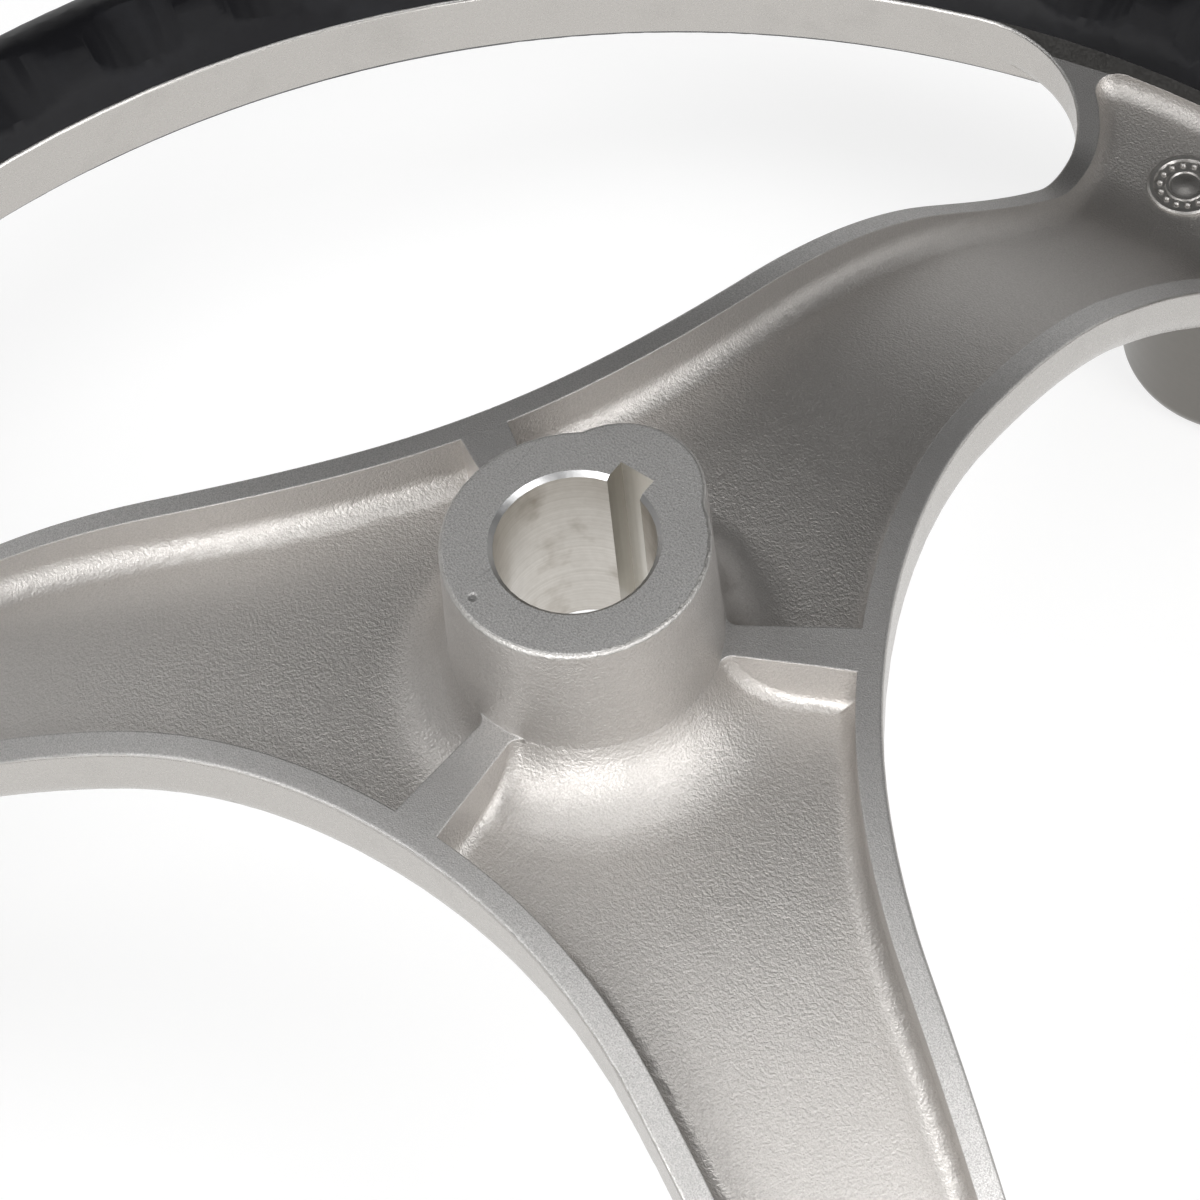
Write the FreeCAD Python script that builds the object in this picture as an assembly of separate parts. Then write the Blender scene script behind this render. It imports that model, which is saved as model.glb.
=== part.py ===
import FreeCAD, Part
import math
import os

from FreeCAD import Vector

# Boat steering wheel: a dished three-spoke casting with ribbed channels at its back,
# a moulded grip round the rim and a spinning knob on the front of the keyed spoke.
# Millimetres. Origin: shaft axis on the boss's rear face. +Z points out of the back,
# and the keyed spoke lies along +Y. Angles are degrees from +X about +Z.

# Shaft bore, keyway and the seat for the shaft nut
BORE_RADIUS = 9.525
BORE_CHAMFER = 0.6
BORE_LENGTH = 28.2
KEY_WIDTH = 4.76
KEY_REACH = 12.0
NUT_SEAT_RADIUS = 15.0

# Boss that stands out of the back, with a lobe round the keyway, and the share of the way
# to the channels' sides that its rounded foot takes
BOSS_RADIUS = 15.8
BOSS_HEIGHT = 18.4
BOSS_DRAFT = 2.0
BOSS_EDGE = 0.6
BOSS_FOOT_SHARE = 0.6
LOBE_RADIUS = 10.0
LOBE_OFFSET = 8.6

# Dished web: the curve of its back, its depth and the channels in it
DISH_DEPTH = 72.9
DISH_SLOPE = 42.2
DISH_HUB_FLAT = 0.5
DISH_HUB_BEND = 97.8
DISH_RIM_BEND = 22.0
WEB_DEPTH = 11.6
FRONT_ROUND = 4.5
WALL = 3.2
EDGE_ROUND = 0.5
CHANNEL_DEPTH = 8.0
CHANNEL_END_DEPTH = 2.6
CHANNEL_END_WALL = 1.8
CHANNEL_CORNER = 3.2
CHANNEL_SIDE_FOOT = 3.0
CHANNEL_RIB_FOOT = 1.6

# Ribs from the boss to the web between the spokes
RIB_BOSS_WIDTH = 4.1
RIB_WALL_WIDTH = 6.1

# Outline of the windows between the spokes
SPOKES = 3
WEB_REACH = 35.5
WEB_ARC = 93.0
SPOKE_TAPER = 4.8
FLARE_LENGTH = 50.0
FLARE_ARC = 92.0
WINDOW_CORNER = 20.0

# Rim ring and the grip moulded round it
RING_RADIUS = 148.0
RING_WIDTH = 8.0
RING_HEIGHT = 10.7
GRIP_WIDTH = 22.8
GRIP_HEIGHT = 23.6
GRIP_CLEARANCE = 0.15
FINGERS_PER_SPOKE = 16
FINGER_DEPTH = 1.1
FINGER_ARC = 24.0
FINGER_LEAN = 20.0

# Pad on the front of the keyed spoke's end, for the spinning knob
KNOB_OFFSET = 1.0
PAD_RADIUS = 9.0
PAD_HEIGHT = 8.4
PAD_FOOT = 2.0
PAD_EDGE = 0.6
GRIP_PAD_CLEARANCE = 0.3

# Shoulder screw that the knob spins on
SHOULDER_RADIUS = 5.0
SCREW_HEAD_RADIUS = 8.0
SCREW_HEAD_HEIGHT = 5.5
SCREW_EDGE = 0.5
THREAD_RADIUS = 4.0
THREAD_LENGTH = 10.0
THREAD_CLEARANCE = 0.05
HOLE_RUNOUT = 1.5
SOCKET_ACROSS_FLATS = 5.0
SOCKET_DEPTH = 3.0

# Knob, its flanged bushes, its washers and its cap
KNOB_RADIUS = 18.0
KNOB_FRONT_ROUND = 4.0
KNOB_REAR_ROUND = 1.5
KNOB_WEB = 23.4
BUSH_WALL = 1.5
BUSH_LENGTH = 9.0
FLANGE_RADIUS = 8.5
FLANGE_THICKNESS = 1.0
FLANGE_PROUD = 0.25
THRUST_WASHER_THICKNESS = 1.0
HEAD_WASHER_THICKNESS = 0.8
RUNNING_CLEARANCE = 0.06
END_FLOAT = 0.1
SEAT_CLEARANCE = 0.1
HEAD_CLEARANCE = 1.0
CAP_RADIUS = 11.0
CAP_THICKNESS = 1.5
CAP_EDGE = 0.3
CAP_HEAD_GAP = 0.6
CAP_CLEARANCE = 0.05

# Directions in plan
STEP_ANGLE = 360.0 / SPOKES
KEYED_SPOKE = 90.0
FIRST_RIB = KEYED_SPOKE - STEP_ANGLE / 2.0

# Levels of the web's back, its front and the channels' floor, at the hub and at the rim
REAR_HUB = -BOSS_HEIGHT
REAR_RIM = -DISH_DEPTH
FRONT_HUB = REAR_HUB - WEB_DEPTH
FRONT_RIM = REAR_RIM - RING_HEIGHT
FLOOR_HUB = REAR_HUB - CHANNEL_DEPTH
FLOOR_RIM = REAR_RIM - CHANNEL_END_DEPTH
CHANNEL_TOP = REAR_HUB / 2.0

# The boss's foot, where the dish starts past it, and the lobe's foot, which ends there
BOSS_GROWTH = math.tan(math.radians(BOSS_DRAFT))
FOOT_TANGENT = math.tan(math.radians(90.0 - BOSS_DRAFT) / 2.0)
BOSS_FLOOR_RADIUS = BOSS_RADIUS - BOSS_GROWTH * FLOOR_HUB
LOBE_FLOOR_RADIUS = LOBE_RADIUS - BOSS_GROWTH * FLOOR_HUB
FOOT_RUN = (WEB_REACH - WALL - BOSS_FLOOR_RADIUS) * BOSS_FOOT_SHARE
BOSS_FOOT = FOOT_RUN / FOOT_TANGENT
DISH_START = BOSS_FLOOR_RADIUS + FOOT_RUN + DISH_HUB_FLAT
LOBE_FOOT = (DISH_START - LOBE_OFFSET - LOBE_FLOOR_RADIUS) / FOOT_TANGENT
DISH_CORNER = DISH_START + DISH_HUB_BEND * math.tan(math.radians(DISH_SLOPE) / 2.0)
DISH_RUN = (REAR_HUB - REAR_RIM) / math.tan(math.radians(DISH_SLOPE))

# The channels' floor is less steep, and its bend starts with the dish
FLOOR_SLOPE = math.atan((FLOOR_HUB - FLOOR_RIM) / DISH_RUN)
FLOOR_HUB_BEND = (DISH_CORNER - DISH_START) / math.tan(FLOOR_SLOPE / 2.0)

# The ring, its grip and the pad for the knob
RING_OUTSIDE = RING_RADIUS + RING_WIDTH
FLARE_START = RING_RADIUS - FLARE_LENGTH
GRIP_INSIDE = RING_RADIUS + EDGE_ROUND
GRIP_CENTRE = GRIP_INSIDE + GRIP_WIDTH / 2.0 * math.sqrt(1.0 - (RING_HEIGHT / GRIP_HEIGHT) ** 2)
KNOB_REACH = RING_RADIUS + KNOB_OFFSET
PAD_FACE = FRONT_RIM - PAD_HEIGHT

# Levels along the knob's axis, from the pad to the knob's front
KNOB_REAR = PAD_FACE - THRUST_WASHER_THICKNESS - END_FLOAT - FLANGE_PROUD
REAR_FLANGE_FACE = KNOB_REAR + FLANGE_PROUD
COUNTERBORE_FLOOR = KNOB_REAR - KNOB_WEB
FRONT_FLANGE_FACE = COUNTERBORE_FLOOR - FLANGE_THICKNESS
HEAD_SEAT = FRONT_FLANGE_FACE - END_FLOAT - HEAD_WASHER_THICKNESS
HEAD_FACE = HEAD_SEAT - SCREW_HEAD_HEIGHT
CAP_SEAT = HEAD_FACE - CAP_HEAD_GAP
KNOB_FRONT = CAP_SEAT - CAP_THICKNESS
BUSH_RADIUS = SHOULDER_RADIUS + RUNNING_CLEARANCE
BUSH_OUTSIDE = BUSH_RADIUS + BUSH_WALL

# How far cuts and joined solids run past a face, how near counts as touching,
# and how little an upright face's normal may rise
OVERLAP = 1.0
TOUCH = 0.01
UPRIGHT_RISE = 0.001


def unit(degrees):
    """Unit vector in plan at an angle from +X."""
    return Vector(math.cos(math.radians(degrees)), math.sin(math.radians(degrees)), 0)


def turned(shape, degrees):
    """Copy of a shape turned about the shaft axis."""
    copy = shape.copy()
    copy.rotate(Vector(0, 0, 0), Vector(0, 0, 1), degrees)
    return copy


def moved(shape, offset):
    """Copy of a shape moved by a vector."""
    copy = shape.copy()
    copy.translate(offset)
    return copy


def line(start, end):
    """Straight edge between two points."""
    return Part.LineSegment(start, end).toShape()


def arc_about(centre, start, end):
    """The shorter arc about a centre from one point to another."""
    radius = (start - centre).Length
    towards = (start + end) * 0.5 - centre
    middle = centre + towards.normalize() * radius
    return Part.Arc(start, middle, end).toShape()


def ring_arc(radius, start_angle, end_angle):
    """Arc about the shaft axis between two angles."""
    middle = (start_angle + end_angle) / 2.0
    return Part.Arc(unit(start_angle) * radius, unit(middle) * radius, unit(end_angle) * radius).toShape()


def angle_of(point):
    """Angle of a point from +X."""
    return math.degrees(math.atan2(point.y, point.x))


def mirrored(point):
    """The same point on the other side of the rib's centre line."""
    return Vector(point.x, -point.y, 0)


def circles_meet(first, first_radius, second, second_radius, left):
    """Where two circles meet, on the left or the right of the line between their centres."""
    span = second - first
    distance = span.Length
    along = (first_radius ** 2 - second_radius ** 2 + distance ** 2) / (2.0 * distance)
    aside = math.sqrt(first_radius ** 2 - along ** 2)
    direction = span.normalize()
    normal = Vector(-direction.y, direction.x, 0)
    return first + direction * along + normal * (aside if left else -aside)


def prism(edges, low, high):
    """Upright solid over a closed plan outline."""
    wire = Part.Wire(Part.__sortEdges__(edges))
    face = Part.Face(wire)
    face.translate(Vector(0, 0, low))
    return face.extrude(Vector(0, 0, high - low))


def turned_solid(points, bends=None):
    """Solid turned about the shaft axis from (radius, height) corners, with some corners rounded."""
    bends = bends or {}
    count = len(points)
    corners = [Vector(radius, 0, height) for radius, height in points]
    edges = []
    entry = []
    leave = []
    for index, corner in enumerate(corners):
        before = corners[index - 1]
        after = corners[(index + 1) % count]
        radius = bends.get(index, 0.0)
        if radius == 0.0:
            entry.append(corner)
            leave.append(corner)
            continue
        back = (before - corner).normalize()
        ahead = (after - corner).normalize()
        half = back.getAngle(ahead) / 2.0
        reach = radius / math.tan(half)
        start = corner + back * reach
        end = corner + ahead * reach
        inward = (back + ahead).normalize()
        middle = corner + inward * (radius / math.sin(half) - radius)
        edges.append(Part.Arc(start, middle, end).toShape())
        entry.append(start)
        leave.append(end)
    for index in range(count):
        start = leave[index]
        end = entry[(index + 1) % count]
        if (end - start).Length > TOUCH:
            edges.append(line(start, end))
    wire = Part.Wire(Part.__sortEdges__(edges))
    return Part.Face(wire).revolve(Vector(0, 0, 0), Vector(0, 0, 1), 360)


def rod(radius, low, high):
    """Upright cylinder on the shaft axis."""
    return Part.makeCylinder(radius, high - low, Vector(0, 0, low))


def tube(inner, outer, low, high):
    """Upright tube on the shaft axis."""
    return rod(outer, low, high).cut(rod(inner, low, high))


# Window outline in the frame of one rib, which lies along +X there

def window_centres():
    """Centres of the web arc, the flare arc and the corner arc, and where the taper line starts and ends."""
    half_step = STEP_ANGLE / 2.0
    spoke = unit(half_step)
    web_centre = Vector(WEB_REACH + WEB_ARC, 0, 0)
    run = unit(half_step + SPOKE_TAPER)
    into_window = Vector(run.y, -run.x, 0)
    taper_start = web_centre - into_window * WEB_ARC
    length = (FLARE_START - taper_start.dot(spoke)) / run.dot(spoke)
    taper_end = taper_start + run * length
    flare_centre = taper_end + into_window * FLARE_ARC
    corner_centre = circles_meet(
        Vector(0, 0, 0), RING_RADIUS - WINDOW_CORNER, flare_centre, FLARE_ARC - WINDOW_CORNER, True)
    return web_centre, flare_centre, corner_centre, taper_start, taper_end, into_window


def window_prism():
    """Solid that cuts one window, as far out as the ring."""
    web_centre, flare_centre, corner_centre, taper_start, taper_end, _ = window_centres()
    flare_end = flare_centre + (corner_centre - flare_centre).normalize() * FLARE_ARC
    ring_end = Vector(corner_centre).normalize() * RING_RADIUS
    edges = [arc_about(web_centre, mirrored(taper_start), taper_start)]
    for side in (lambda point: point, mirrored):
        edges.append(line(side(taper_start), side(taper_end)))
        edges.append(arc_about(side(flare_centre), side(taper_end), side(flare_end)))
        edges.append(arc_about(side(corner_centre), side(flare_end), side(ring_end)))
    edges.append(ring_arc(RING_RADIUS, -angle_of(ring_end), angle_of(ring_end)))
    return prism(edges, FRONT_RIM - WEB_DEPTH, 0.0)


def channel_side(ring_inside):
    """One side of a channel in the rib's frame, as (arc centre or None, start, end) from rib to ring."""
    web_centre, flare_centre, corner_centre, taper_start, taper_end, into_window = window_centres()
    rib_slope = (RIB_WALL_WIDTH - RIB_BOSS_WIDTH) / 2.0 / (WEB_REACH - WALL - BOSS_RADIUS)
    corner_y = RIB_WALL_WIDTH / 2.0
    rib_corner = Vector(web_centre.x - math.sqrt((WEB_ARC + WALL) ** 2 - corner_y ** 2), corner_y, 0)
    rib_inside = Vector(BORE_RADIUS, corner_y - rib_slope * (rib_corner.x - BORE_RADIUS), 0)
    line_start = taper_start - into_window * WALL
    line_end = taper_end - into_window * WALL
    flare_end = flare_centre + (corner_centre - flare_centre).normalize() * (FLARE_ARC + WALL)
    corner_radius = WINDOW_CORNER + WALL
    end_centre = circles_meet(
        Vector(0, 0, 0), ring_inside - CHANNEL_CORNER, corner_centre, corner_radius + CHANNEL_CORNER, True)
    corner_end = corner_centre + (end_centre - corner_centre).normalize() * corner_radius
    ring_start = Vector(end_centre).normalize() * ring_inside
    return [
        (None, rib_inside, rib_corner),
        (web_centre, rib_corner, line_start),
        (None, line_start, line_end),
        (flare_centre, line_end, flare_end),
        (corner_centre, flare_end, corner_end),
        (end_centre, corner_end, ring_start),
    ]


def in_spoke_frame(point):
    """A point of the rib's frame, seen with the next spoke along +X."""
    half_step = math.radians(STEP_ANGLE / 2.0)
    return Vector(
        point.x * math.cos(half_step) + point.y * math.sin(half_step),
        point.y * math.cos(half_step) - point.x * math.sin(half_step), 0)


def channel_prism():
    """Upright solid over one spoke's channel, with the spoke along +X."""
    ring_inside = RING_RADIUS - CHANNEL_END_WALL
    segments = channel_side(ring_inside)
    outline = []
    for centre, start, end in segments:
        points = [None if point is None else in_spoke_frame(point) for point in (centre, start, end)]
        for side in (lambda point: point, mirrored):
            if centre is None:
                outline.append(line(side(points[1]), side(points[2])))
            else:
                outline.append(arc_about(side(points[0]), side(points[1]), side(points[2])))
    ring_start = in_spoke_frame(segments[-1][2])
    outline.append(ring_arc(ring_inside, angle_of(ring_start), -angle_of(ring_start)))
    inner = in_spoke_frame(segments[0][1])
    outline.append(line(inner, mirrored(inner)))
    return prism(outline, REAR_RIM - WEB_DEPTH, CHANNEL_TOP)


def dish_corners(hub_level, rim_level):
    """Corners of a dished profile that turns down at the same radii as the web's back."""
    return (DISH_CORNER, hub_level), (DISH_CORNER + DISH_RUN, rim_level)


def is_upright(face):
    """Whether a face stands upright at its middle."""
    first_u, last_u, first_v, last_v = face.ParameterRange
    return abs(face.normalAt((first_u + last_u) / 2.0, (first_v + last_v) / 2.0).z) < UPRIGHT_RISE


def plan_radii(edge):
    """Distances from the shaft axis of an edge's two ends."""
    return [math.hypot(vertex.Point.x, vertex.Point.y) for vertex in (edge.firstVertex(), edge.lastVertex())]


def wall_edges(solid):
    """Edges where an upright face meets a sloping one, each with its upright face."""
    found = []
    for edge in solid.Edges:
        faces = solid.ancestorsOfType(edge, Part.Face)
        if len(faces) == 2 and [is_upright(face) for face in faces].count(True) == 1:
            found.append((edge, faces[0] if is_upright(faces[0]) else faces[1]))
    return found


def is_foot(edge, face):
    """Whether a face rises from an edge, rather than falls from it."""
    middle = edge.valueAt((edge.FirstParameter + edge.LastParameter) / 2.0)
    return Part.Vertex(middle + Vector(0, 0, EDGE_ROUND / 2.0)).distToShape(face)[0] < TOUCH


def rounded_together(shape, radii):
    """Shape with its edges rounded in one step, from pairs of edge and radius."""
    document = FreeCAD.newDocument()
    base = document.addObject("Part::Feature", "base")
    base.Shape = shape
    rounded = document.addObject("Part::Fillet", "rounded")
    rounded.Base = base
    rounded.Edges = [(number, radius, radius) for number, edge in enumerate(shape.Edges, 1)
                     for chosen, radius in radii if edge.isSame(chosen)]
    document.recompute()
    result = rounded.Shape.copy()
    FreeCAD.closeDocument(document.Name)
    return result


def channel_cutter():
    """One channel with rounded feet to its sides and to the ribs, the spoke along +X."""
    floor_inner, floor_outer = dish_corners(FLOOR_HUB, FLOOR_RIM)
    behind_floor = turned_solid(
        [(BOSS_RADIUS, 0), (BOSS_FLOOR_RADIUS, FLOOR_HUB), floor_inner, floor_outer,
         (RING_OUTSIDE, FLOOR_RIM), (RING_OUTSIDE, 0)],
        {1: BOSS_FOOT, 2: FLOOR_HUB_BEND, 3: DISH_RIM_BEND})
    cutter = channel_prism().common(turned(behind_floor, 180)).Solids[0]
    rib_end = channel_side(RING_RADIUS)[0][2].Length
    radii = []
    for edge, _ in wall_edges(cutter):
        if edge.BoundBox.ZMin < CHANNEL_TOP - TOUCH:
            along_rib = max(plan_radii(edge)) < rib_end + TOUCH
            radii.append((edge, CHANNEL_RIB_FOOT if along_rib else CHANNEL_SIDE_FOOT))
    return rounded_together(cutter, radii)


def spider():
    """Web and spokes, with the windows cut and their edges rounded."""
    rear_inner, rear_outer = dish_corners(REAR_HUB, REAR_RIM)
    front_inner, front_outer = dish_corners(FRONT_HUB, FRONT_RIM)
    body = turned_solid(
        [(0, REAR_HUB), rear_inner, rear_outer, (RING_OUTSIDE, REAR_RIM), (RING_OUTSIDE, FRONT_RIM),
         front_outer, front_inner, (0, FRONT_HUB)],
        {1: DISH_HUB_BEND, 2: DISH_RIM_BEND, 5: DISH_RIM_BEND, 6: DISH_HUB_BEND})
    window = window_prism()
    for index in range(SPOKES):
        body = body.cut(turned(window, FIRST_RIB + index * STEP_ANGLE))
    body = body.Solids[0]
    outline = [pair for pair in wall_edges(body) if min(plan_radii(pair[0])) < RING_RADIUS + TOUCH]
    front = [edge for edge, face in outline if is_foot(edge, face)]
    body = body.makeFillet(FRONT_ROUND, front)
    outline = [pair for pair in wall_edges(body) if min(plan_radii(pair[0])) < RING_RADIUS + TOUCH]
    rear = [edge for edge, face in outline
            if not is_foot(edge, face) and edge.BoundBox.ZMax > REAR_RIM - TOUCH]
    return body.makeFillet(EDGE_ROUND, rear)


def boss_and_lobe():
    """Drafted boss with the lobe round its keyway, the lobe towards +X."""
    boss = Part.makeCone(BOSS_FLOOR_RADIUS, BOSS_RADIUS, -FLOOR_HUB, Vector(0, 0, FLOOR_HUB))
    lobe = Part.makeCone(LOBE_FLOOR_RADIUS, LOBE_RADIUS, -FLOOR_HUB, Vector(LOBE_OFFSET, 0, FLOOR_HUB))
    both = boss.fuse(lobe).removeSplitter().Solids[0]
    rear = [edge for edge in both.Edges if edge.BoundBox.ZMin > -TOUCH]
    return both.makeFillet(BOSS_EDGE, rear)


def lobe_foot():
    """Flare from the lobe to the floor of the keyed channel, the lobe towards +X."""
    reach = LOBE_FLOOR_RADIUS + LOBE_FOOT * FOOT_TANGENT
    under = FLOOR_HUB - OVERLAP
    top_radius = LOBE_RADIUS - BOSS_GROWTH * CHANNEL_TOP
    flare = turned_solid(
        [(0, CHANNEL_TOP), (top_radius, CHANNEL_TOP), (LOBE_FLOOR_RADIUS, FLOOR_HUB), (reach, FLOOR_HUB),
         (reach, under), (0, under)],
        {2: LOBE_FOOT})
    return moved(flare, Vector(LOBE_OFFSET, 0, 0))


def pad():
    """Pad under the knob with a rounded foot, on the shaft axis."""
    reach = PAD_RADIUS + PAD_FOOT
    inside = FRONT_RIM + OVERLAP
    return turned_solid(
        [(0, inside), (reach, inside), (reach, FRONT_RIM), (PAD_RADIUS, FRONT_RIM), (PAD_RADIUS, PAD_FACE),
         (0, PAD_FACE)],
        {3: PAD_FOOT, 4: PAD_EDGE})


def bore_cutter():
    """Shaft bore with its chamfer, keyway towards +X and nut seat."""
    front = -BORE_LENGTH
    bore = rod(BORE_RADIUS, front - OVERLAP, OVERLAP)
    chamfer = Part.makeCone(
        BORE_RADIUS, BORE_RADIUS + BORE_CHAMFER, BORE_CHAMFER, Vector(0, 0, -BORE_CHAMFER))
    corner = Vector(0, -KEY_WIDTH / 2.0, front - OVERLAP)
    keyway = Part.makeBox(KEY_REACH, KEY_WIDTH, BORE_LENGTH + 2.0 * OVERLAP, corner)
    seat = rod(NUT_SEAT_RADIUS, FRONT_HUB - OVERLAP, front)
    return bore.fuse([chamfer, keyway, seat])


def knob_axis(level=0.0):
    """Point of the knob's axis at a level."""
    return unit(KEYED_SPOKE) * KNOB_REACH + Vector(0, 0, level)


def wheel_casting():
    """The whole casting, with the keyed spoke along +Y."""
    body = spider()
    body = body.fuse(turned(boss_and_lobe(), KEYED_SPOKE))
    channel = channel_cutter()
    for index in range(SPOKES):
        cutter = channel.cut(lobe_foot()) if index == 0 else channel
        body = body.cut(turned(cutter, KEYED_SPOKE + index * STEP_ANGLE))
    ring = tube(RING_RADIUS, RING_OUTSIDE, FRONT_RIM, REAR_RIM)
    inner_edges = [edge for edge in ring.Edges if edge.Closed and edge.BoundBox.ZLength < TOUCH
                   and abs(edge.BoundBox.XMax - RING_RADIUS) < TOUCH]
    body = body.fuse(ring.makeFillet(EDGE_ROUND, inner_edges))
    knob_pad = moved(pad(), knob_axis()).common(rod(RING_OUTSIDE, PAD_FACE - OVERLAP, REAR_RIM))
    body = body.fuse(knob_pad)
    body = body.fuse(moved(rod(PAD_RADIUS, PAD_FACE + PAD_EDGE, FRONT_RIM), knob_axis()))
    body = body.cut(turned(bore_cutter(), KEYED_SPOKE))
    hole_end = PAD_FACE + THREAD_LENGTH + HOLE_RUNOUT
    body = body.cut(moved(rod(THREAD_RADIUS + THREAD_CLEARANCE, PAD_FACE - OVERLAP, hole_end), knob_axis()))
    return body.removeSplitter()


def upright_ellipse_face(centre, across, high):
    """Face of an ellipse in the XZ plane."""
    curve = Part.Ellipse(
        centre + Vector(0, 0, high / 2.0), centre + Vector(across / 2.0, 0, 0), centre)
    return Part.Face(Part.Wire([curve.toShape()]))


def rim_grip():
    """Grip with a hollow for each finger, open where it meets the ring and the pad."""
    middle = (REAR_RIM + FRONT_RIM) / 2.0
    section = upright_ellipse_face(Vector(GRIP_CENTRE, 0, middle), GRIP_WIDTH, GRIP_HEIGHT)
    bed = Part.makeBox(
        RING_OUTSIDE + GRIP_CLEARANCE, OVERLAP, RING_HEIGHT, Vector(0, -OVERLAP / 2.0, FRONT_RIM))
    inside = Part.makeBox(
        GRIP_INSIDE, OVERLAP, GRIP_HEIGHT * 2.0, Vector(0, -OVERLAP / 2.0, middle - GRIP_HEIGHT))
    section = section.cut(inside).cut(bed)
    body = section.Faces[0].revolve(Vector(0, 0, 0), Vector(0, 0, 1), 360)
    lean = math.radians(FINGER_LEAN)
    outward = Vector(-math.sin(lean), 0, math.cos(lean))
    along = Vector(math.cos(lean), 0, math.sin(lean))
    centre = Vector(GRIP_CENTRE, 0, middle) + outward * (GRIP_HEIGHT / 2.0 - FINGER_DEPTH + FINGER_ARC)
    finger = Part.makeCylinder(FINGER_ARC, GRIP_WIDTH * 2.0, centre - along * GRIP_WIDTH, along)
    count = SPOKES * FINGERS_PER_SPOKE
    pitch = 360.0 / count
    body = body.cut([turned(finger, FIRST_RIB + (index + 0.5) * pitch) for index in range(count)])
    notch = rod(PAD_RADIUS + PAD_FOOT + GRIP_PAD_CLEARANCE, PAD_FACE - GRIP_HEIGHT, FRONT_RIM)
    return body.cut(moved(notch, knob_axis()))


def thrust_washer():
    """Washer between the pad and the knob."""
    face = PAD_FACE - THRUST_WASHER_THICKNESS
    return tube(SHOULDER_RADIUS + SEAT_CLEARANCE, PAD_RADIUS, face, PAD_FACE)


def head_washer():
    """Washer between the front bush and the screw's head."""
    face = HEAD_SEAT + HEAD_WASHER_THICKNESS
    return tube(SHOULDER_RADIUS + SEAT_CLEARANCE, FLANGE_RADIUS, HEAD_SEAT, face)


def shoulder_screw():
    """Screw with a plain shoulder between its head and its thread, and a socket in its head."""
    body = turned_solid(
        [(0, HEAD_FACE), (SCREW_HEAD_RADIUS, HEAD_FACE), (SCREW_HEAD_RADIUS, HEAD_SEAT),
         (SHOULDER_RADIUS, HEAD_SEAT), (SHOULDER_RADIUS, PAD_FACE), (THREAD_RADIUS, PAD_FACE),
         (THREAD_RADIUS, PAD_FACE + THREAD_LENGTH), (0, PAD_FACE + THREAD_LENGTH)],
        {1: SCREW_EDGE, 6: SCREW_EDGE})
    corner = SOCKET_ACROSS_FLATS / 2.0 / math.cos(math.radians(30))
    points = [unit(60.0 * index) * corner + Vector(0, 0, HEAD_FACE) for index in range(7)]
    socket = Part.Face(Part.makePolygon(points)).extrude(Vector(0, 0, SOCKET_DEPTH))
    return body.cut(socket)


def flanged_bush(flange_face, direction):
    """Bush that runs on the shoulder, its flange facing a direction along the axis."""
    flange = sorted([flange_face, flange_face - direction * FLANGE_THICKNESS])
    barrel = sorted([flange_face, flange_face - direction * BUSH_LENGTH])
    body = rod(BUSH_OUTSIDE, *barrel).fuse(rod(FLANGE_RADIUS, *flange))
    return body.cut(rod(BUSH_RADIUS, *barrel)).removeSplitter()


def knob_body():
    """Knob with seats for its bushes, a counterbore for the screw's head and a recess for its cap."""
    body = turned_solid(
        [(0, KNOB_REAR), (KNOB_RADIUS, KNOB_REAR), (KNOB_RADIUS, KNOB_FRONT), (0, KNOB_FRONT)],
        {1: KNOB_REAR_ROUND, 2: KNOB_FRONT_ROUND})
    flange_seat = REAR_FLANGE_FACE - FLANGE_THICKNESS
    body = body.cut(rod(BUSH_OUTSIDE, COUNTERBORE_FLOOR, KNOB_REAR))
    body = body.cut(rod(FLANGE_RADIUS, flange_seat, KNOB_REAR))
    body = body.cut(rod(SCREW_HEAD_RADIUS + HEAD_CLEARANCE, CAP_SEAT, COUNTERBORE_FLOOR))
    return body.cut(rod(CAP_RADIUS + CAP_CLEARANCE, KNOB_FRONT, CAP_SEAT))


def knob_cap():
    """Cap in the front of the knob."""
    return turned_solid(
        [(0, KNOB_FRONT), (CAP_RADIUS, KNOB_FRONT), (CAP_RADIUS, CAP_SEAT), (0, CAP_SEAT)], {1: CAP_EDGE})


def write(name, shape):
    """Write one part to its file."""
    shape.Solids[0].exportStep("parts/" + name + ".step")


if __name__ == "__main__":
    os.makedirs("parts", exist_ok=True)
    write("wheel_casting", wheel_casting())
    write("rim_grip", rim_grip())
    on_knob_axis = {
        "thrust_washer": thrust_washer(),
        "shoulder_screw": shoulder_screw(),
        "head_washer": head_washer(),
        "rear_bush": flanged_bush(REAR_FLANGE_FACE, 1),
        "front_bush": flanged_bush(FRONT_FLANGE_FACE, -1),
        "knob_body": knob_body(),
        "knob_cap": knob_cap(),
    }
    for name, shape in on_knob_axis.items():
        write(name, moved(shape, knob_axis()))
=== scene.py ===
import logging
import math
from dataclasses import dataclass
from enum import Enum

import bmesh
import bpy
from mathutils import Euler, Matrix, Vector
from mathutils.bvhtree import BVHTree


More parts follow.
